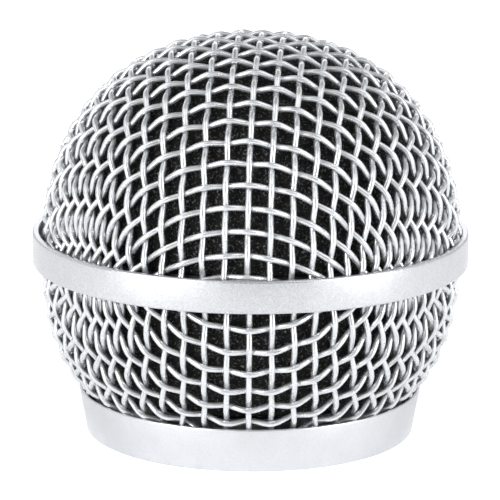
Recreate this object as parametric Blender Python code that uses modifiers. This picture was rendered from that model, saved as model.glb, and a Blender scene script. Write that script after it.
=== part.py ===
"""Ball grille of a vocal microphone: a wire-cloth dome and bowl, joined by a belt, on a threaded collar.

The grille stands on its collar, with the origin at the middle of the collar's flat foot and +Z up.
Every piece is turned about Z. Units are metres.
"""

import math

import bmesh
import bpy

MM = 0.001
GAP = 0.3 * MM                      # between pieces that touch

# Wire cloth: two layers of wire, one over the other, make its thickness.
WIRE_DIAMETER = 0.62 * MM
CLOTH = 2 * WIRE_DIAMETER

# Belt: a flat rolled band round the widest place, over the hems of both cloths.
BELT_RADIUS = 25.5 * MM
BELT_BOTTOM = 20.1 * MM
BELT_HEIGHT = 3.8 * MM
BELT_WALL = 0.55 * MM
BELT_TOP_ROUND = 0.3 * MM
BELT_BOTTOM_ROUND = 0.2 * MM

# Clamp hoop: a plain band inside the hems, opposite the belt.
HOOP_RADIUS = 23.1 * MM
HOOP_WALL = 0.6 * MM
HOOP_HEIGHT = 3.2 * MM

# The cloths are superellipses of revolution about the same widest level.
WAIST = 20.8 * MM
HEM_LEVEL = 22.0 * MM               # the two hems meet here, behind the belt
DOME_RADIUS = 24.7 * MM
DOME_RISE = 26.1 * MM
DOME_POWER = 2.28
BOWL_RADIUS = 24.6 * MM
BOWL_DROP = 22.9 * MM
BOWL_POWER = 2.36
BOWL_NECK = 5.4 * MM                # level where the bowl turns down into its skirt
SKIRT_RADIUS = 18.7 * MM
SKIRT_BOTTOM = 1.5 * MM

# Collar: a tapered ring, wider at its rim.
COLLAR_HEIGHT = 5.19 * MM
COLLAR_RIM_RADIUS = 20.15 * MM
COLLAR_FOOT_RADIUS = 19.26 * MM
COLLAR_EDGE = 0.15 * MM
COLLAR_SEAT = 1.2 * MM              # thickness of the foot that the skirt stands on
COLLAR_BORE = 18.3 * MM
COLLAR_POCKET = 19.0 * MM           # inner radius beside the skirt
COLLAR_POCKET_TOP = 3.0 * MM
COLLAR_RIM_BORE = 19.9 * MM

# Thread ring: the female thread that screws onto the microphone's body, swaged out at its top.
RING_BORE = 16.2 * MM
RING_RADIUS = 17.2 * MM
RING_FLANGE = 18.0 * MM
RING_FLARE = 18.1 * MM
RING_FLARE_START = 4.4 * MM
RING_HEIGHT = 5.9 * MM
RING_LEAD_IN = 0.4 * MM
THREAD_PITCH = 1.0 * MM
THREAD_DEPTH = 0.4 * MM
THREAD_TURNS = 5
THREAD_START = -0.6 * MM
THREAD_POINTS_PER_TURN = 24

# Foam liners, right behind the cloth.
CAP_THICKNESS = 4.0 * MM
CAP_BOTTOM = 23.9 * MM
SLEEVE_THICKNESS = 2.4 * MM
SLEEVE_TOP = 20.0 * MM
SLEEVE_BOTTOM = 6.2 * MM

FINE_STEPS = 72                     # round the visible rings
COARSE_STEPS = 40                   # round the cloths, the hoop and the foam


def clear_scene():
    for old in list(bpy.data.objects):
        bpy.data.objects.remove(old)


def new_collection(name):
    made = bpy.data.collections.new(name)
    bpy.context.scene.collection.children.link(made)
    return made


def material(name, colour, roughness, metallic):
    made = bpy.data.materials.new(name)
    made.use_nodes = True
    shader = made.node_tree.nodes["Principled BSDF"]
    shader.inputs["Base Color"].default_value = (*colour, 1.0)
    shader.inputs["Roughness"].default_value = roughness
    shader.inputs["Metallic"].default_value = metallic
    return made


def arc(centre, radius, start_deg, end_deg, count):
    """Points along an arc in the profile plane; angles are counted from +X towards +Z."""
    points = []
    for i in range(count):
        angle = math.radians(start_deg + (end_deg - start_deg) * i / (count - 1))
        points.append((centre[0] + radius * math.cos(angle), centre[1] + radius * math.sin(angle)))
    return points


def superellipse(radius, height, power, level, count, pole=False):
    """Points from the waist to a level, or to the pole; a negative height goes down."""
    end = math.pi / 2
    if not pole:
        end = math.asin(((level - WAIST) / height) ** (power / 2))
    points = []
    for i in range(count):
        turn = end * i / (count - 1)
        across = max(math.cos(turn), 0.0) ** (2 / power)
        points.append((radius * across, WAIST + height * math.sin(turn) ** (2 / power)))
    if pole:
        points[-1] = (0.0, WAIST + height)
    return points


def turned(name, profile, closed, steps, finish, parts):
    """A profile spun about Z. At +X it runs down its outer side, from top to bottom."""
    shape = bmesh.new()
    verts = [shape.verts.new((x, 0.0, z)) for x, z in profile]
    for first, second in zip(verts, verts[1:]):
        shape.edges.new((first, second))
    if closed:
        shape.edges.new((verts[-1], verts[0]))
    mesh = bpy.data.meshes.new(name)
    shape.to_mesh(mesh)
    shape.free()
    made = bpy.data.objects.new(name, mesh)
    parts.objects.link(made)
    made.data.materials.append(finish)
    spin = made.modifiers.new("turn", "SCREW")
    spin.axis = "Z"
    spin.angle = 2 * math.pi
    spin.steps = spin.render_steps = steps
    spin.use_merge_vertices = True
    spin.merge_threshold = 0.00001
    spin.use_smooth_shade = True
    return made


def thicken(made, thickness):
    """Give an open turned surface its wall, on the inside."""
    wall = made.modifiers.new("wall", "SOLIDIFY")
    wall.thickness = thickness
    wall.offset = -1
    wall.use_even_offset = True


def make_upper_mesh(finish, parts):
    rise = superellipse(DOME_RADIUS, DOME_RISE, DOME_POWER, 0, 14, pole=True)
    above_hem = [point for point in rise if point[1] > HEM_LEVEL + GAP]
    profile = above_hem[::-1] + [(DOME_RADIUS, HEM_LEVEL + GAP / 2)]
    dome = turned("upper_mesh", profile, False, COARSE_STEPS, finish, parts)
    thicken(dome, CLOTH)
    return dome


def make_lower_mesh(finish, parts):
    profile = [(BOWL_RADIUS, HEM_LEVEL - GAP / 2)]
    profile += superellipse(BOWL_RADIUS, -BOWL_DROP, BOWL_POWER, BOWL_NECK, 9)
    (before_radius, before_level), (neck_radius, neck_level) = profile[-2:]
    lean = math.atan2(neck_radius - before_radius, before_level - neck_level)
    bend = (neck_radius - SKIRT_RADIUS) / (1 - math.cos(lean))
    centre = (neck_radius + bend * math.cos(lean), neck_level + bend * math.sin(lean))
    profile += arc(centre, bend, 180 + math.degrees(lean), 180, 4)[1:]
    profile.append((SKIRT_RADIUS, SKIRT_BOTTOM))
    bowl = turned("lower_mesh", profile, False, COARSE_STEPS, finish, parts)
    thicken(bowl, CLOTH)
    return bowl


def make_belt_band(finish, parts):
    top = BELT_BOTTOM + BELT_HEIGHT
    inner = BELT_RADIUS - BELT_WALL
    profile = [(inner, top)]
    shoulder = (BELT_RADIUS - BELT_TOP_ROUND, top - BELT_TOP_ROUND)
    profile += arc(shoulder, BELT_TOP_ROUND, 90, 0, 4)
    heel = (BELT_RADIUS - BELT_BOTTOM_ROUND, BELT_BOTTOM + BELT_BOTTOM_ROUND)
    profile += arc(heel, BELT_BOTTOM_ROUND, 0, -90, 3)
    profile.append((inner, BELT_BOTTOM))
    return turned("belt_band", profile, True, FINE_STEPS, finish, parts)


def make_clamp_hoop(finish, parts):
    middle = BELT_BOTTOM + BELT_HEIGHT / 2
    top, bottom = middle + HOOP_HEIGHT / 2, middle - HOOP_HEIGHT / 2
    inner = HOOP_RADIUS - HOOP_WALL
    profile = [(inner, top), (HOOP_RADIUS, top), (HOOP_RADIUS, bottom), (inner, bottom)]
    return turned("clamp_hoop", profile, True, COARSE_STEPS, finish, parts)


def make_collar(finish, parts):
    slope = (COLLAR_RIM_RADIUS - COLLAR_FOOT_RADIUS) / COLLAR_HEIGHT
    rim_level = COLLAR_HEIGHT - COLLAR_EDGE
    rim = (COLLAR_FOOT_RADIUS + slope * rim_level - COLLAR_EDGE, rim_level)
    heel = (COLLAR_FOOT_RADIUS + slope * COLLAR_EDGE - COLLAR_EDGE, COLLAR_EDGE)
    profile = arc(rim, COLLAR_EDGE, 90, 0, 3) + arc(heel, COLLAR_EDGE, 0, -90, 3)
    profile += [
        (COLLAR_BORE, 0.0),
        (COLLAR_BORE, COLLAR_SEAT),
        (COLLAR_POCKET, COLLAR_SEAT),
        (COLLAR_POCKET, COLLAR_POCKET_TOP),
        (COLLAR_RIM_BORE, rim_level),
    ]
    return turned("collar", profile, True, FINE_STEPS, finish, parts)


def make_thread_cutter(cutters):
    """A round wire wound into a helix at the bore's wall, as a closed mesh."""
    points = THREAD_TURNS * THREAD_POINTS_PER_TURN + 1
    curve = bpy.data.curves.new("thread_helix", "CURVE")
    curve.dimensions = "3D"
    curve.bevel_depth = THREAD_DEPTH
    curve.bevel_resolution = 1
    curve.use_fill_caps = True
    helix = curve.splines.new("POLY")
    helix.points.add(points - 1)
    for i, point in enumerate(helix.points):
        turn = 2 * math.pi * i / THREAD_POINTS_PER_TURN
        level = THREAD_START + THREAD_PITCH * i / THREAD_POINTS_PER_TURN
        point.co = (RING_BORE * math.cos(turn), RING_BORE * math.sin(turn), level, 1.0)
    wire = bpy.data.objects.new("thread_helix", curve)
    cutters.objects.link(wire)
    bpy.context.view_layer.update()
    evaluated = wire.evaluated_get(bpy.context.evaluated_depsgraph_get())
    mesh = bpy.data.meshes.new_from_object(evaluated)
    shape = bmesh.new()
    shape.from_mesh(mesh)
    bmesh.ops.remove_doubles(shape, verts=shape.verts, dist=0.000001)
    bmesh.ops.recalc_face_normals(shape, faces=shape.faces)
    shape.to_mesh(mesh)
    shape.free()
    cutter = bpy.data.objects.new("thread_cutter", mesh)
    cutter.matrix_world = wire.matrix_world
    cutter.hide_render = True
    cutter.display_type = "WIRE"
    cutters.objects.link(cutter)
    bpy.data.objects.remove(wire)
    return cutter


def make_thread_ring(finish, parts, cutters):
    profile = [
        (RING_FLARE, RING_HEIGHT),
        (RING_RADIUS, RING_FLARE_START),
        (RING_RADIUS, COLLAR_SEAT),
        (RING_FLANGE, COLLAR_SEAT),
        (RING_FLANGE, 0.0),
        (RING_BORE + RING_LEAD_IN, 0.0),
        (RING_BORE, RING_LEAD_IN),
        (RING_BORE, RING_FLARE_START),
        (RING_FLARE - (RING_RADIUS - RING_BORE), RING_HEIGHT),
    ]
    ring = turned("thread_ring", profile, True, FINE_STEPS, finish, parts)
    cut = ring.modifiers.new("thread", "BOOLEAN")
    cut.operation = "DIFFERENCE"
    cut.solver = "EXACT"
    cut.object = make_thread_cutter(cutters)
    return ring


def make_foam_cap(finish, parts):
    behind = CLOTH + GAP
    rise = superellipse(DOME_RADIUS - behind, DOME_RISE - behind, DOME_POWER, 0, 10, pole=True)
    profile = [point for point in rise if point[1] > CAP_BOTTOM][::-1]
    profile.append((DOME_RADIUS - behind - 0.2 * MM, CAP_BOTTOM))
    cap = turned("foam_cap", profile, False, COARSE_STEPS, finish, parts)
    thicken(cap, CAP_THICKNESS)
    return cap


def make_foam_sleeve(finish, parts):
    behind = CLOTH + GAP
    drop = superellipse(BOWL_RADIUS - behind, behind - BOWL_DROP, BOWL_POWER, SLEEVE_BOTTOM, 8)
    profile = [(BOWL_RADIUS - behind, SLEEVE_TOP)] + [point for point in drop if point[1] < SLEEVE_TOP]
    sleeve = turned("foam_sleeve", profile, False, COARSE_STEPS, finish, parts)
    thicken(sleeve, SLEEVE_THICKNESS)
    return sleeve


def main():
    clear_scene()
    parts = new_collection("ball_grille")
    cutters = new_collection("cutters")
    silver = (0.78, 0.79, 0.81)
    make_upper_mesh(material("upper_mesh", silver, 0.38, 0.8), parts)
    make_lower_mesh(material("lower_mesh", silver, 0.38, 0.8), parts)
    make_belt_band(material("belt_band", silver, 0.42, 0.7), parts)
    make_clamp_hoop(material("clamp_hoop", (0.55, 0.56, 0.58), 0.45, 1.0), parts)
    make_collar(material("collar", silver, 0.42, 0.7), parts)
    make_thread_ring(material("thread_ring", (0.6, 0.61, 0.62), 0.35, 1.0), parts, cutters)
    foam = (0.012, 0.012, 0.013)
    make_foam_cap(material("foam_cap", foam, 0.95, 0.0), parts)
    make_foam_sleeve(material("foam_sleeve", foam, 0.95, 0.0), parts)


main()
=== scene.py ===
"""Looks of a microphone's ball grille: woven wire cloth, painted rings and foam.

Everything is turned or woven round +Z, and stands on the floor at Z = 0 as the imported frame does.
"""

import math
from collections import namedtuple

import bpy
import numpy as np
from mathutils import Matrix, Vector, noise


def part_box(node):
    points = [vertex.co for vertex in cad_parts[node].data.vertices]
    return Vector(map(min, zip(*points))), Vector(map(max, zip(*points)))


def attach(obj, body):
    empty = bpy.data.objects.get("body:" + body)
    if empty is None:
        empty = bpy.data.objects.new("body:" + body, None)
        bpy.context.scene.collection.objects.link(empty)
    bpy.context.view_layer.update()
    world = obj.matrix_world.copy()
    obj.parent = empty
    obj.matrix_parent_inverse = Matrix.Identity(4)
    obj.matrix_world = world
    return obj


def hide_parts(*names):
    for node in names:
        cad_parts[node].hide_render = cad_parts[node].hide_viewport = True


MM = 0.001
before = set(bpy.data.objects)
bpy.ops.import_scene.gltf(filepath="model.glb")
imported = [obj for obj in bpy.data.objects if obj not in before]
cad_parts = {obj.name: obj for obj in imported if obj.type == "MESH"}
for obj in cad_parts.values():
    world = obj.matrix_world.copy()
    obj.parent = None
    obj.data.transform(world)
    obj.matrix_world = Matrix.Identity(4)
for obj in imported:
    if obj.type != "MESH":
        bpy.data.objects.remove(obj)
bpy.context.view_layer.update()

# Sizes read from the frame.
DOME_LOW, DOME_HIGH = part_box("upper_mesh")
BOWL_LOW, BOWL_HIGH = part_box("lower_mesh")
BELT_LOW, BELT_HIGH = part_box("belt_band")
COLLAR_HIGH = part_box("collar")[1]
CAP_LOW, CAP_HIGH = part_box("foam_cap")
SLEEVE_LOW, SLEEVE_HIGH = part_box("foam_sleeve")

# Wire cloth of ten wires to the inch.
PITCH = 2.54 * MM
WIRE_RADIUS = 0.34 * MM             # steel of 0.62 mm and its coat of paint
CRIMP = 0.32 * MM                   # each wire swings this far to either side of the cloth's middle
CLOTH = 2 * (WIRE_RADIUS + CRIMP)
WIRE_SIDES = 12
STEPS_PER_PITCH = 8
NET_STEPS = 4                       # net cells to one pitch
WANDER = 0.05 * MM                  # how far a wire strays from its even spacing

# Both cloths were pressed into superellipses of revolution that meet at one widest level.
WAIST = 20.8 * MM
DOME_POWER = 2.28
BOWL_POWER = 2.41
BOWL_DROP = 22.9 * MM
BOWL_NECK = 5.4 * MM                # the bowl turns down into its skirt below this level
SKIRT_RADIUS = 18.7 * MM

# Pressing drew the cells longer near each hem: past the start of the draw, measured along the
# meridian from the pole, the wires slid on, by up to the draw, within a few millimetres. Crimping
# the belt then pushed the dome's last wires back up, by the gather times the square of their
# distance past its start.
DOME_DRAW_START, DOME_DRAW = 28.9 * MM, 0.27 * MM
BOWL_DRAW_START, BOWL_DRAW = 31.2 * MM, 0.38 * MM
DRAW_REACH = 3.5 * MM
DOME_GATHER_START, DOME_GATHER = 34.0 * MM, 25.0

# Belt and collar, inside the outlines that the frame gives them.
BELT_WALL = 0.55 * MM
BELT_ROLL = 0.76 * MM               # both edges are crimped in to the cloth, past the wall
COLLAR_TAPER = 0.89 * MM
COLLAR_BORE = 18.3 * MM
RING_SEGMENTS = 288

# Foam liners.
FOAM_GAP = 0.3 * MM                 # between the cloth and the foam behind it
CAP_THICKNESS = 4.0 * MM
SLEEVE_THICKNESS = 2.4 * MM
FOAM_SPACING = 0.45 * MM            # between the points of a liner's pitted face
PIT_SPACING = 0.9 * MM
PIT_DEPTH = 0.28 * MM               # per pit spacing nearer to a pit's middle than its reach
PIT_REACH = 0.55                    # of the pit spacing
FOAM_SWELL = 0.08 * MM

# A shell's side is 1 above the waist and -1 below it. The defaults leave its wires where they lie.
Shell = namedtuple("Shell", "radius height power side draw_start draw gather", defaults=(1.0, 0.0, 0.0))

# A weave is turned about Z and shifted along X. Its middle wires lie off the pole by across and
# along. Parity tells which of two wires is on top at a crossing. Wires end at the low and high levels.
Weave = namedtuple("Weave", "shell turn across along shift parity low high")


# ---------------------------------------------------------------- materials

def node_maker(material):
    """Functions that add a node with its settings, and link two sockets."""
    tree = material.node_tree

    def add(kind, **settings):
        made = tree.nodes.new(kind)
        for key, value in settings.items():
            setattr(made, key, value)
        return made

    return add, tree.links.new


def new_material(name):
    made = bpy.data.materials.new(name)
    made.use_nodes = True
    return made, made.node_tree.nodes["Principled BSDF"]


def set_values(node, **values):
    for key, value in values.items():
        node.inputs[key.replace("_", " ")].default_value = value


def ramp(add, low, high, low_value, high_value):
    """A colour ramp of two greys."""
    made = add("ShaderNodeValToRGB")
    first, last = made.color_ramp.elements
    first.position, last.position = low, high
    first.color = (*[low_value] * 3, 1)
    last.color = (*[high_value] * 3, 1)
    return made


def silver_paint(name, tone, roughness, grain):
    """Satin silver paint: fine flakes of `grain` strength, a soft orange peel, slightly uneven tone."""
    made, shader = new_material(name)
    add, link = node_maker(made)
    place = add("ShaderNodeTexCoord")
    flakes = add("ShaderNodeTexVoronoi")
    set_values(flakes, Scale=15000.0, Randomness=1.0)
    cloud = add("ShaderNodeTexNoise")
    set_values(cloud, Scale=420.0, Detail=1.0, Roughness=0.6)
    link(place.outputs["Object"], flakes.inputs["Vector"])
    link(place.outputs["Object"], cloud.inputs["Vector"])

    bright = add("ShaderNodeSeparateColor")
    link(flakes.outputs["Color"], bright.inputs["Color"])
    tint = add("ShaderNodeMix", data_type="RGBA")
    tint.inputs["A"].default_value = (*[channel * (1 - grain) for channel in tone], 1)
    tint.inputs["B"].default_value = (*[min(1.0, channel * (1 + grain)) for channel in tone], 1)
    link(bright.outputs["Red"], tint.inputs["Factor"])
    uneven = add("ShaderNodeMix", data_type="RGBA", blend_type="MULTIPLY")
    uneven.inputs["Factor"].default_value = 1.0
    shade = ramp(add, 0.3, 0.7, 0.96, 1.0)
    link(cloud.outputs["Fac"], shade.inputs["Fac"])
    link(tint.outputs["Result"], uneven.inputs["A"])
    link(shade.outputs["Color"], uneven.inputs["B"])
    link(uneven.outputs["Result"], shader.inputs["Base Color"])

    gloss = add("ShaderNodeMapRange")
    set_values(gloss, **{"To_Min": roughness - 0.05, "To_Max": roughness + 0.05})
    link(bright.outputs["Green"], gloss.inputs["Value"])
    link(gloss.outputs["Result"], shader.inputs["Roughness"])

    peel = add("ShaderNodeBump")
    set_values(peel, Strength=grain, Distance=0.027 * MM)
    link(bright.outputs["Blue"], peel.inputs["Height"])
    swell = add("ShaderNodeBump")
    set_values(swell, Strength=0.15, Distance=0.1 * MM)
    link(cloud.outputs["Fac"], swell.inputs["Height"])
    link(peel.outputs["Normal"], swell.inputs["Normal"])
    link(swell.outputs["Normal"], shader.inputs["Normal"])
    shader.inputs["Metallic"].default_value = 0.9
    return made


def painted_wire(tone, roughness):
    """Satin silver paint on drawn wire: die marks and tone run along each straightened wire."""
    made, shader = new_material("silver_wire_paint")
    add, link = node_maker(made)
    place = add("ShaderNodeAttribute", attribute_name="straight")
    squash = add("ShaderNodeMapping")
    mark_width, mark_length = 0.16 * MM, 2.2 * MM
    squash.inputs["Scale"].default_value = (1 / mark_width, 1 / mark_width, 1 / mark_length)
    marks = add("ShaderNodeTexNoise")
    set_values(marks, Scale=1.0, Detail=2.0, Roughness=0.55)
    patch = add("ShaderNodeTexNoise")
    set_values(patch, Scale=700.0, Detail=3.0)
    link(place.outputs["Vector"], squash.inputs["Vector"])
    link(squash.outputs["Vector"], marks.inputs["Vector"])
    link(place.outputs["Vector"], patch.inputs["Vector"])

    tint = add("ShaderNodeMix", data_type="RGBA")
    tint.inputs["A"].default_value = (*[channel * 0.55 for channel in tone], 1)
    tint.inputs["B"].default_value = (*tone, 1)
    dark = ramp(add, 0.3, 0.42, 0.0, 1.0)
    link(marks.outputs["Fac"], dark.inputs["Fac"])
    link(dark.outputs["Color"], tint.inputs["Factor"])
    link(tint.outputs["Result"], shader.inputs["Base Color"])

    gloss = add("ShaderNodeMapRange")
    set_values(gloss, **{"To_Min": roughness - 0.08, "To_Max": roughness + 0.08})
    link(patch.outputs["Fac"], gloss.inputs["Value"])
    link(gloss.outputs["Result"], shader.inputs["Roughness"])
    relief = add("ShaderNodeBump")
    set_values(relief, Strength=0.12, Distance=0.03 * MM)
    link(marks.outputs["Fac"], relief.inputs["Height"])
    link(relief.outputs["Normal"], shader.inputs["Normal"])
    shader.inputs["Metallic"].default_value = 0.72
    return made


def turned_metal(name, tone, roughness, metallic):
    """A turned or rolled surface: fine tool rings round the axis, and a little staining."""
    made, shader = new_material(name)
    add, link = node_maker(made)
    place = add("ShaderNodeTexCoord")
    squash = add("ShaderNodeMapping")
    squash.inputs["Scale"].default_value = (60, 60, 9000)
    rings = add("ShaderNodeTexNoise")
    set_values(rings, Scale=1.0, Detail=3.0)
    stain = add("ShaderNodeTexNoise")
    set_values(stain, Scale=300.0, Detail=5.0)
    link(place.outputs["Object"], squash.inputs["Vector"])
    link(squash.outputs["Vector"], rings.inputs["Vector"])
    link(place.outputs["Object"], stain.inputs["Vector"])
    tint = add("ShaderNodeMix", data_type="RGBA")
    tint.inputs["A"].default_value = (*[channel * 0.72 for channel in tone], 1)
    tint.inputs["B"].default_value = (*tone, 1)
    link(stain.outputs["Fac"], tint.inputs["Factor"])
    link(tint.outputs["Result"], shader.inputs["Base Color"])
    gloss = add("ShaderNodeMapRange")
    set_values(gloss, **{"To_Min": roughness - 0.08, "To_Max": roughness + 0.12})
    link(rings.outputs["Fac"], gloss.inputs["Value"])
    link(gloss.outputs["Result"], shader.inputs["Roughness"])
    grooves = add("ShaderNodeBump")
    set_values(grooves, Strength=0.25, Distance=0.03 * MM)
    link(rings.outputs["Fac"], grooves.inputs["Height"])
    link(grooves.outputs["Normal"], shader.inputs["Normal"])
    shader.inputs["Metallic"].default_value = metallic
    return made


def foam_material():
    """Black open-cell foam: dark pores, and here and there a strut whose highlight is painted into the
    base colour as a lighter grey.
    """
    made, shader = new_material("black_foam")
    add, link = node_maker(made)
    place = add("ShaderNodeTexCoord")
    cells = add("ShaderNodeTexVoronoi", feature="DISTANCE_TO_EDGE")
    set_values(cells, Scale=2600.0)
    painted_glint_noise = add("ShaderNodeTexNoise")
    set_values(painted_glint_noise, Scale=3200.0, Detail=2.0)
    link(place.outputs["Object"], cells.inputs["Vector"])
    link(place.outputs["Object"], painted_glint_noise.inputs["Vector"])
    struts = ramp(add, 0.03, 0.1, 1.0, 0.0)
    link(cells.outputs["Distance"], struts.inputs["Fac"])
    painted_glint = ramp(add, 0.5, 0.75, 0.0, 1.0)
    link(painted_glint_noise.outputs["Fac"], painted_glint.inputs["Fac"])
    both = add("ShaderNodeMath", operation="MULTIPLY")
    link(struts.outputs["Color"], both.inputs[0])
    link(painted_glint.outputs["Color"], both.inputs[1])
    # Painted highlight: struts picked by the noise get a light grey base colour instead of near-black.
    tint = add("ShaderNodeMix", data_type="RGBA")
    tint.inputs["A"].default_value = (0.0075, 0.007, 0.0068, 1)
    tint.inputs["B"].default_value = (0.2, 0.2, 0.195, 1)
    link(both.outputs["Value"], tint.inputs["Factor"])
    link(tint.outputs["Result"], shader.inputs["Base Color"])
    pores = add("ShaderNodeBump", invert=True)
    set_values(pores, Strength=0.8, Distance=0.15 * MM)
    link(cells.outputs["Distance"], pores.inputs["Height"])
    link(pores.outputs["Normal"], shader.inputs["Normal"])
    set_values(shader, Roughness=0.95)
    shader.inputs["Specular IOR Level"].default_value = 0.15
    return made


# ---------------------------------------------------------------- wire cloth

def meridian(shell, count=4000):
    """Distance from the pole, radius and level along one meridian, down to the waist."""
    turn = np.linspace(math.pi / 2, 0.0, count)
    radius = shell.radius * np.cos(turn) ** (2 / shell.power)
    level = WAIST + shell.side * shell.height * np.sin(turn) ** (2 / shell.power)
    radius[0] = 0.0
    run = np.concatenate([[0.0], np.cumsum(np.hypot(np.diff(radius), np.diff(level)))])
    return run, radius, level


def outwardness(shell, points):
    """How far outside the shell each point is (0 on it), and the gradient of that."""
    away = np.maximum(np.hypot(points[..., 0], points[..., 1]), 1e-9)
    rise = np.maximum((points[..., 2] - WAIST) * shell.side, 0.0)
    power = shell.power
    value = (away / shell.radius) ** power + (rise / shell.height) ** power - 1
    flat = power * (away / shell.radius) ** (power - 1) / shell.radius
    steep = power * (rise / shell.height) ** (power - 1) / shell.height * shell.side
    gradient = [flat * points[..., 0] / away, flat * points[..., 1] / away, steep]
    return value, np.stack(gradient, -1)


def fishnet(shell, step, count):
    """One quarter of the cloth's net: every cell keeps its four equal sides, and shears to fit.

    The two middle wires lie along meridians. Each further knot is one step from its two neighbours.
    """
    run, radius, level = meridian(shell)
    along = np.arange(count + 1) * step
    past = np.maximum(along - run[-1], 0.0)
    away = np.interp(along, run, radius)
    height = np.interp(along, run, level) - shell.side * past
    knots = np.zeros((count + 1, count + 1, 3))
    knots[:, 0, 0] = away
    knots[0, :, 1] = away
    knots[:, 0, 2] = knots[0, :, 2] = height
    for diagonal in range(2, 2 * count + 1):
        i = np.arange(max(1, diagonal - count), min(count, diagonal - 1) + 1)
        j = diagonal - i
        left, below, corner = knots[i - 1, j], knots[i, j - 1], knots[i - 1, j - 1]
        guess = left + below - corner
        for _ in range(12):
            value, gradient = outwardness(shell, guess)
            from_left, from_below = guess - left, guess - below
            miss = np.stack([
                value * step,
                ((from_left ** 2).sum(-1) - step ** 2) / step,
                ((from_below ** 2).sum(-1) - step ** 2) / step,
            ], -1)
            slope = np.stack([gradient * step, 2 * from_left / step, 2 * from_below / step], -2)
            move = np.linalg.solve(slope + 1e-9 * np.eye(3), -miss[..., None])[..., 0]
            size = np.linalg.norm(move, axis=-1, keepdims=True)
            guess = guess + move * np.minimum(1.0, step / np.maximum(size, 1e-12))
        knots[i, j] = guess
    return knots


def read_net(knots, step, across, along):
    """Points of the whole net at cloth coordinates, by mirroring the quarter and blending knots."""
    last = len(knots) - 2
    i = np.clip(np.abs(across) / step, 0, last + 0.999)
    j = np.clip(np.abs(along) / step, 0, last + 0.999)
    i0, j0 = i.astype(int), j.astype(int)
    fi, fj = (i - i0)[..., None], (j - j0)[..., None]
    near = knots[i0, j0] * (1 - fi) + knots[i0 + 1, j0] * fi
    far = knots[i0, j0 + 1] * (1 - fi) + knots[i0 + 1, j0 + 1] * fi
    points = near * (1 - fj) + far * fj
    points[..., 0] *= np.where(across < 0, -1, 1)
    points[..., 1] *= np.where(along < 0, -1, 1)
    return points


def drop_into_skirt(shell, points, normals):
    """Below the neck, points go down the skirt at the distance that they had from the neck."""
    run, radius, level = meridian(shell)
    neck_run = np.interp(-BOWL_NECK, -level[::-1], run[::-1])
    neck_radius = np.interp(neck_run, run, radius)
    i = int(np.searchsorted(run, neck_run))
    lean = math.atan2(radius[i - 1] - radius[i], level[i] - level[i - 1])
    bend = (neck_radius - SKIRT_RADIUS + CLOTH / 2) / (1 - math.cos(lean))
    away = np.hypot(points[:, 0], points[:, 1])
    below = neck_run - np.interp(away, radius, run)
    lower = (points[:, 2] < BOWL_NECK) & (below > 0)
    angle = np.minimum(lean + below / bend, 0.0)
    straight = np.maximum(below + lean * bend, 0.0)
    new_away = neck_radius + bend * (math.cos(lean) - np.cos(angle))
    new_level = BOWL_NECK + bend * (math.sin(lean) - np.sin(angle)) - straight
    unit = points[:, :2] / np.maximum(away, 1e-9)[:, None]
    moved = np.column_stack([unit * new_away[:, None], new_level])
    faced = np.column_stack([unit * np.cos(angle)[:, None], np.sin(angle)])
    points[lower] = moved[lower]
    normals[lower] = faced[lower]
    return points, normals


def draw_out(shell, points):
    """The wires near the hem, moved along the meridians as pressing moved them."""
    run, radius, level = meridian(shell)
    place = np.interp(-shell.side * points[:, 2], -shell.side * level, run)
    past = np.maximum(place - shell.draw_start, 0.0) / DRAW_REACH
    pushed = np.clip(place - DOME_GATHER_START, 0.0, PITCH)
    drawn = place + shell.draw * (1 - np.exp(-past ** 2)) - shell.gather * pushed ** 2
    away = np.hypot(points[:, 0], points[:, 1])
    on_shell = ((points[:, 2] - WAIST) * shell.side > 0) & (place > shell.draw_start)
    new_away = np.interp(drawn, run, radius)
    new_level = np.interp(drawn, run, level) - shell.side * np.maximum(drawn - run[-1], 0.0)
    unit = points[:, :2] / np.maximum(away, 1e-9)[:, None]
    moved = np.column_stack([unit * new_away[:, None], new_level])
    return np.where(on_shell[:, None], moved, points)


def stray(seed, places):
    """How far, from -1 to 1, a wire strays from its even spacing at places along it."""
    per_pitch, apart = 0.45, 7.31                 # steps through the noise, along and between wires
    spots = [Vector((seed * apart, place / PITCH * per_pitch, 0.5)) for place in places]
    return np.array([noise.noise(spot) for spot in spots])


def wire_path(weave, knots, number, lengthwise):
    """Centre line and cloth normals of one wire. Lengthwise wires run front to back."""
    count = int(len(knots) * STEPS_PER_PITCH / NET_STEPS) - 1
    places = np.arange(-count, count + 1) * PITCH / STEPS_PER_PITCH
    seed = number + (100 if lengthwise else 0) + (200 if weave.shell.side < 0 else 0)
    fixed = (weave.across if lengthwise else weave.along) + number * PITCH
    fixed = np.full(len(places), fixed) + WANDER * stray(seed, places)
    net_step = PITCH / NET_STEPS
    across, along = (fixed, places) if lengthwise else (places, fixed)
    points = read_net(knots, net_step, across, along)
    points = draw_out(weave.shell, points)
    normals = outwardness(weave.shell, points)[1]
    normals /= np.linalg.norm(normals, axis=-1, keepdims=True)
    if weave.shell.side < 0:
        points, normals = drop_into_skirt(weave.shell, points, normals)
    start = weave.along if lengthwise else weave.across
    sign = (1 if lengthwise else -1) * weave.parity * (-1) ** number
    lift = -sign * CRIMP * np.cos(math.pi * (places - start) / PITCH)
    points = points + normals * lift[:, None]
    cos, sin = math.cos(weave.turn), math.sin(weave.turn)
    spin = np.array([[cos, sin, 0], [-sin, cos, 0], [0, 0, 1]])
    return points @ spin + (weave.shift, 0, 0), normals @ spin


def runs_within(levels, low, high):
    """Unbroken runs of points between two levels, as (first, last + 1)."""
    inside = np.concatenate([[False], (levels > low) & (levels < high), [False]])
    edges = np.flatnonzero(np.diff(inside.astype(int)))
    return [(a, b) for a, b in zip(edges[::2], edges[1::2]) if b - a > STEPS_PER_PITCH // 2]


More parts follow.
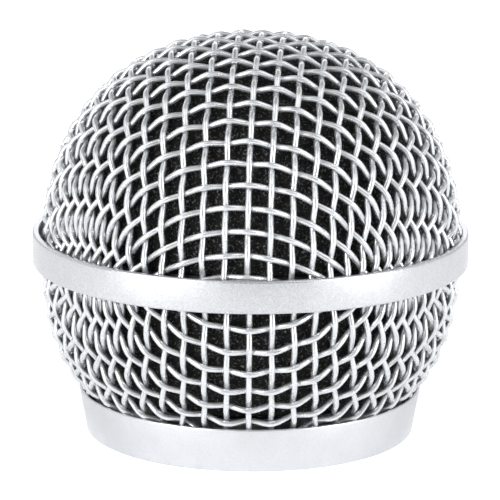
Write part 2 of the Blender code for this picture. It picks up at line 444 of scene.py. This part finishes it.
def add_tube(verts, faces, straight, points, normals):
    """A round wire swept along points, with closed ends.

    Each vertex also gets its place on the straightened wire, for the marks that run along it.
    """
    tangent = np.gradient(points, axis=0)
    tangent /= np.linalg.norm(tangent, axis=1, keepdims=True)
    side = np.cross(tangent, normals)
    side /= np.linalg.norm(side, axis=1, keepdims=True)
    up = np.cross(side, tangent)
    angle = np.arange(WIRE_SIDES) * 2 * math.pi / WIRE_SIDES
    ring = np.cos(angle)[None, :, None] * side[:, None] + np.sin(angle)[None, :, None] * up[:, None]
    base = sum(len(part) for part in verts)
    verts.append((points[:, None] + WIRE_RADIUS * ring).reshape(-1, 3))
    run = np.cumsum(np.linalg.norm(np.diff(points, axis=0, prepend=points[:1]), axis=1))
    lay = np.empty((len(points), WIRE_SIDES, 3))
    lay[..., 0] = WIRE_RADIUS * np.cos(angle)
    lay[..., 1] = WIRE_RADIUS * np.sin(angle)
    lay[..., 2] = run[:, None] + len(straight) * 2 * DOME_HIGH.z
    straight.append(lay.reshape(-1, 3))
    row = np.arange(len(points) - 1)[:, None] * WIRE_SIDES + base
    here, after = np.arange(WIRE_SIDES), (np.arange(WIRE_SIDES) + 1) % WIRE_SIDES
    quads = np.stack([row + here, row + after, row + WIRE_SIDES + after, row + WIRE_SIDES + here], -1)
    faces.extend(quads.reshape(-1, 4).tolist())
    end = base + (len(points) - 1) * WIRE_SIDES
    faces.append(list(range(base + WIRE_SIDES - 1, base - 1, -1)))
    faces.append(list(range(end, end + WIRE_SIDES)))


def mesh_object(name, verts, faces, material, sharp_deg=40):
    """A smooth-shaded object, with sharp edges kept where faces meet at more than an angle."""
    mesh = bpy.data.meshes.new(name)
    mesh.from_pydata([tuple(v) for v in verts], [], faces)
    mesh.validate()
    mesh.shade_smooth()
    mesh.set_sharp_from_angle(angle=math.radians(sharp_deg))
    mesh.materials.append(material)
    made = bpy.data.objects.new(name, mesh)
    bpy.context.scene.collection.objects.link(made)
    return made


def make_wires(name, weave, knots, lengthwise, material):
    """All the wires of one direction of a cloth, as one object of separate tubes."""
    verts, faces, straight = [], [], []
    reach = int(math.ceil(len(knots) / NET_STEPS))
    for number in range(-reach, reach + 1):
        points, normals = wire_path(weave, knots, number, lengthwise)
        for first, last in runs_within(points[:, 2], weave.low, weave.high):
            add_tube(verts, faces, straight, points[first:last], normals[first:last])
    wires = mesh_object(name, np.concatenate(verts), faces, material)
    lay = wires.data.attributes.new("straight", "FLOAT_VECTOR", "POINT")
    lay.data.foreach_set("vector", np.concatenate(straight).ravel())
    return wires


def make_cloths(paint):
    """The dome and the bowl, each with its wires of both directions."""
    middle = CLOTH / 2
    dome = Shell(
        radius=DOME_HIGH.x - middle,
        height=DOME_HIGH.z - WAIST - middle,
        power=DOME_POWER,
        side=1,
        draw_start=DOME_DRAW_START,
        draw=DOME_DRAW,
        gather=DOME_GATHER,
    )
    bowl = Shell(
        radius=BOWL_HIGH.x - middle,
        height=BOWL_DROP - middle,
        power=BOWL_POWER,
        side=-1,
        draw_start=BOWL_DRAW_START,
        draw=BOWL_DRAW,
    )
    weaves = {
        "upper": Weave(
            shell=dome,
            turn=-0.06,
            across=0.9 * MM,
            along=-1.03 * MM,
            shift=0.18 * MM,
            parity=1,
            low=DOME_LOW.z,
            high=math.inf,
        ),
        "lower": Weave(
            shell=bowl,
            turn=-0.0015,
            across=-0.04 * MM,
            along=-1.39 * MM,
            shift=0.0,
            parity=-1,
            low=BOWL_LOW.z,
            high=BOWL_HIGH.z,
        ),
    }
    for part, weave in weaves.items():
        reach = meridian(weave.shell)[0][-1] + 3 * PITCH
        knots = fishnet(weave.shell, PITCH / NET_STEPS, int(reach / PITCH * NET_STEPS))
        for direction, lengthwise in (("warp", True), ("weft", False)):
            wires = make_wires(f"{part}_{direction}_wires", weave, knots, lengthwise, paint)
            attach(wires, "root")
            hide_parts(f"{part}_mesh")


# ---------------------------------------------------------------- rings and foam

def arc(centre, radius, start_deg, end_deg, count=7):
    """Points of a circular arc in the plane of a profile."""
    angles = [math.radians(start_deg + (end_deg - start_deg) * i / (count - 1)) for i in range(count)]
    return [(centre[0] + radius * math.cos(a), centre[1] + radius * math.sin(a)) for a in angles]


def turned(name, profile, segments, material):
    """A closed profile spun about Z."""
    profile = np.array(profile)
    angle = np.arange(segments) * 2 * math.pi / segments
    x = profile[None, :, 0] * np.cos(angle)[:, None]
    y = profile[None, :, 0] * np.sin(angle)[:, None]
    z = np.broadcast_to(profile[None, :, 1], x.shape)
    count = len(profile)
    faces = []
    for i in range(segments):
        here, there = i * count, (i + 1) % segments * count
        for j in range(count):
            k = (j + 1) % count
            faces.append([here + j, here + k, there + k, there + j])
    return mesh_object(name, np.stack([x, y, z], -1).reshape(-1, 3), faces, material)


def make_belt(paint):
    """The belt: a flat band whose edges are rounded outside and crimped in to the cloth inside."""
    outer, top, bottom = BELT_HIGH.x, BELT_HIGH.z, BELT_LOW.z
    inner, lip = outer - BELT_WALL, outer - BELT_ROLL
    crown, heel = 0.3 * MM, 0.2 * MM              # radii of the upper and lower outer edges
    bevel = lip + 0.08 * MM
    profile = [(inner, top - 0.6 * MM), (lip, top - 0.3 * MM), (bevel, top - 0.06 * MM)]
    profile += arc((outer - crown, top - crown), crown, 90, 0)
    profile += arc((outer - heel, bottom + heel), heel, 0, -90)
    profile += [(bevel, bottom + 0.06 * MM), (lip, bottom + 0.3 * MM), (inner, bottom + 0.6 * MM)]
    belt = turned("belt", profile, RING_SEGMENTS, paint)
    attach(belt, "root")
    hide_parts("belt_band")


def make_collar(paint):
    """The collar: a tapered ring, widest at its rim, stepped inside above its foot."""
    rim, height = COLLAR_HIGH.x, COLLAR_HIGH.z
    foot = rim - COLLAR_TAPER
    slope = (rim - foot) / height
    lip, edge = 0.2 * MM, 0.15 * MM               # radii of the rim's and the foot's outer edges
    middle = foot + slope * (height - lip) - lip  # of the rim's edge
    chamfer, step = 0.1 * MM, 1.2 * MM
    profile = arc((middle, height - lip), lip, 100, 0)
    profile += arc((foot + slope * edge - edge, edge), edge, -10, -90)
    profile += [
        (COLLAR_BORE + chamfer, 0.0),
        (COLLAR_BORE, chamfer),
        (COLLAR_BORE, step),
        (19.0 * MM, step),
        (19.1 * MM, 2 * step),
        (middle - 0.07 * MM, height - 0.1 * MM),
    ]
    collar = turned("collar_ring", profile, RING_SEGMENTS, paint)
    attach(collar, "root")
    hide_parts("collar")


def foam_skin(name, shell, top, bottom, thickness, material):
    """A foam liner: a turned wall with a pitted outer face, closed at the pole if it has one."""
    run, radius, level = meridian(shell)
    keep = (level <= top + 1e-9) & (level >= bottom - 1e-9)
    low, high = run[keep].min(), run[keep].max()
    rows = int((high - low) / FOAM_SPACING)
    place = np.linspace(low, high, rows)
    segments = int(2 * math.pi * shell.radius / FOAM_SPACING)
    angle = np.arange(segments) * 2 * math.pi / segments
    away, height = np.interp(place, run, radius), np.interp(place, run, level)
    outer = np.stack([
        away[:, None] * np.cos(angle),
        away[:, None] * np.sin(angle),
        np.broadcast_to(height[:, None], (rows, segments)),
    ], -1).reshape(-1, 3)
    normal = outwardness(shell, outer)[1]
    normal /= np.linalg.norm(normal, axis=1, keepdims=True)
    pits = np.array([pit_depth(point) for point in outer])
    pitted = outer - normal * pits[:, None]
    inner = outer - normal * thickness
    faces = []
    total = rows * segments
    for i in range(rows - 1):
        here, after = i * segments, (i + 1) * segments
        for j in range(segments):
            k = (j + 1) % segments
            a, b, c, d = here + j, here + k, after + k, after + j
            quad = [a, d, c, b] if shell.side > 0 else [a, b, c, d]
            faces.append(quad)
            faces.append([total + q for q in reversed(quad)])
    for i in (0, rows - 1):
        for j in range(segments):
            k = (j + 1) % segments
            a, b = i * segments + j, i * segments + k
            edge = [a, b, total + b, total + a]
            flip = (i == 0) == (shell.side > 0)
            faces.append(edge if flip else edge[::-1])
    return mesh_object(name, np.concatenate([pitted, inner]), faces, material, 180)


def pit_depth(point):
    """Depth of the foam's face at a point: pits about a millimetre across, on a gentle swell."""
    spot = Vector(point) / PIT_SPACING
    from_pit = noise.voronoi(spot)[0][0]
    return PIT_DEPTH * max(0.0, PIT_REACH - from_pit) + FOAM_SWELL * (1 + noise.noise(spot * 0.4))


def make_foam(material):
    behind = CLOTH + FOAM_GAP
    dome = Shell(CAP_HIGH.x, CAP_HIGH.z - WAIST, DOME_POWER, 1)
    bowl = Shell(SLEEVE_HIGH.x, BOWL_DROP - behind, BOWL_POWER, -1)
    cap = foam_skin("foam_cap_liner", dome, CAP_HIGH.z, CAP_LOW.z, CAP_THICKNESS, material)
    sleeve = foam_skin("foam_sleeve_liner", bowl, SLEEVE_HIGH.z, SLEEVE_LOW.z, SLEEVE_THICKNESS, material)
    for piece, node in ((cap, "foam_cap"), (sleeve, "foam_sleeve")):
        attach(piece, "root")
        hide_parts(node)


def dress_cad_nodes():
    """Materials of the CAD nodes that are shown as they are."""
    looks = {
        # The clamp hoop's near-black is partly a guessed black finish and partly painted shade: it
        # darkens the gap between belt and cloth.
        "clamp_hoop": turned_metal("black_finish_and_painted_shade", (0.02, 0.02, 0.021), roughness=0.55, metallic=0.0),
        "thread_ring": turned_metal("nickel_plate", (0.66, 0.66, 0.66), roughness=0.3, metallic=1.0),
    }
    for name, material in looks.items():
        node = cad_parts[name]
        node.data.materials.clear()
        node.data.materials.append(material)


# ---------------------------------------------------------------- studio

def make_floor():
    """A wide white sheet that glows faintly, so that the ground comes out white."""
    size = 4.0
    verts = [(-size, -size, 0), (size, -size, 0), (size, size, 0), (-size, size, 0)]
    material, shader = new_material("white_floor")
    set_values(shader, Roughness=0.9)
    shader.inputs["Base Color"].default_value = (0.96, 0.96, 0.965, 1)
    shader.inputs["Emission Color"].default_value = (1, 1, 1, 1)
    shader.inputs["Emission Strength"].default_value = 0.16
    floor = mesh_object("floor", verts, [[0, 1, 2, 3]], material)


def area_light(name, azimuth_deg, elevation_deg, distance, size, power):
    """A rectangular softbox that faces the object, its size in metres and its power in watts.

    Azimuth 0 is the camera's side, and grows towards the camera's right.
    """
    light = bpy.data.lights.new(name, "AREA")
    light.shape = "RECTANGLE"
    light.size, light.size_y = size
    light.energy = power
    lamp = bpy.data.objects.new(name, light)
    azimuth, elevation = math.radians(azimuth_deg), math.radians(elevation_deg)
    flat = math.cos(elevation)
    away = Vector((math.sin(azimuth) * flat, -math.cos(azimuth) * flat, math.sin(elevation)))
    target = Vector((0, 0, 0.5 * DOME_HIGH.z))
    lamp.location = target + away * distance
    lamp.rotation_euler = (-away).to_track_quat("-Z", "Y").to_euler()
    bpy.context.scene.collection.objects.link(lamp)


def make_lights():
    """Two strips for the rings' highlights, softboxes over them, and panels for a white backdrop."""
    area_light("softbox_front", 0, 45, 0.6, (0.4, 0.3), 0.13)
    area_light("strip_left", -47, 15, 0.6, (0.28, 0.3), 3.3)
    area_light("strip_right", 59, 15, 0.6, (0.2, 0.3), 2.8)
    area_light("softbox_left", -60, 55, 0.7, (0.5, 0.4), 1.2)
    area_light("softbox_right", 60, 55, 0.7, (0.5, 0.4), 1.2)
    area_light("panel_back_left", -125, 25, 0.8, (0.9, 0.7), 1.5)
    area_light("panel_back_right", 125, 25, 0.8, (0.9, 0.7), 1.2)
    area_light("panel_back", 180, 19, 0.8, (0.6, 0.5), 1.5)
    world = bpy.data.worlds.new("studio")
    world.use_nodes = True
    world.node_tree.nodes["Background"].inputs["Color"].default_value = (0.97, 0.985, 1.0, 1)
    world.node_tree.nodes["Background"].inputs["Strength"].default_value = 0.28
    bpy.context.scene.world = world


def make_camera():
    """A long lens at 0.43 m, looking 13.7 degrees down."""
    pitch, roll = 0.2399, 0.0059                  # radians
    distance = 0.42984
    focus = Vector((0, 0, 0.02123))
    data = bpy.data.cameras.new("camera")
    data.sensor_width = 36.0
    data.lens = 263.98
    data.shift_x = -0.0009
    data.clip_start = 0.01
    data.clip_end = 20.0
    camera = bpy.data.objects.new("camera", data)
    turn = Matrix.Rotation(math.pi / 2 - pitch, 4, "X") @ Matrix.Rotation(roll, 4, "Z")
    place = focus + distance * Vector((0, -math.cos(pitch), math.sin(pitch)))
    camera.matrix_world = Matrix.Translation(place) @ turn
    bpy.context.scene.collection.objects.link(camera)
    bpy.context.scene.camera = camera


def main():
    make_camera()
    make_floor()
    make_lights()
    # The belt and the collar wear one silver paint. Their tones were fitted apart to how lit each ring
    # looks, so the collar's lighter tone against the belt's is painted light.
    belt_tone, collar_tone = (0.517, 0.524, 0.545), (0.585, 0.593, 0.615)
    make_cloths(painted_wire(tone=(0.6, 0.61, 0.628), roughness=0.26))
    make_belt(silver_paint("silver_belt_paint", belt_tone, roughness=0.31, grain=0.17))
    make_collar(silver_paint("silver_collar_paint", collar_tone, roughness=0.34, grain=0.07))
    make_foam(foam_material())
    dress_cad_nodes()
    bpy.context.scene.view_settings.view_transform = "Standard"


main()
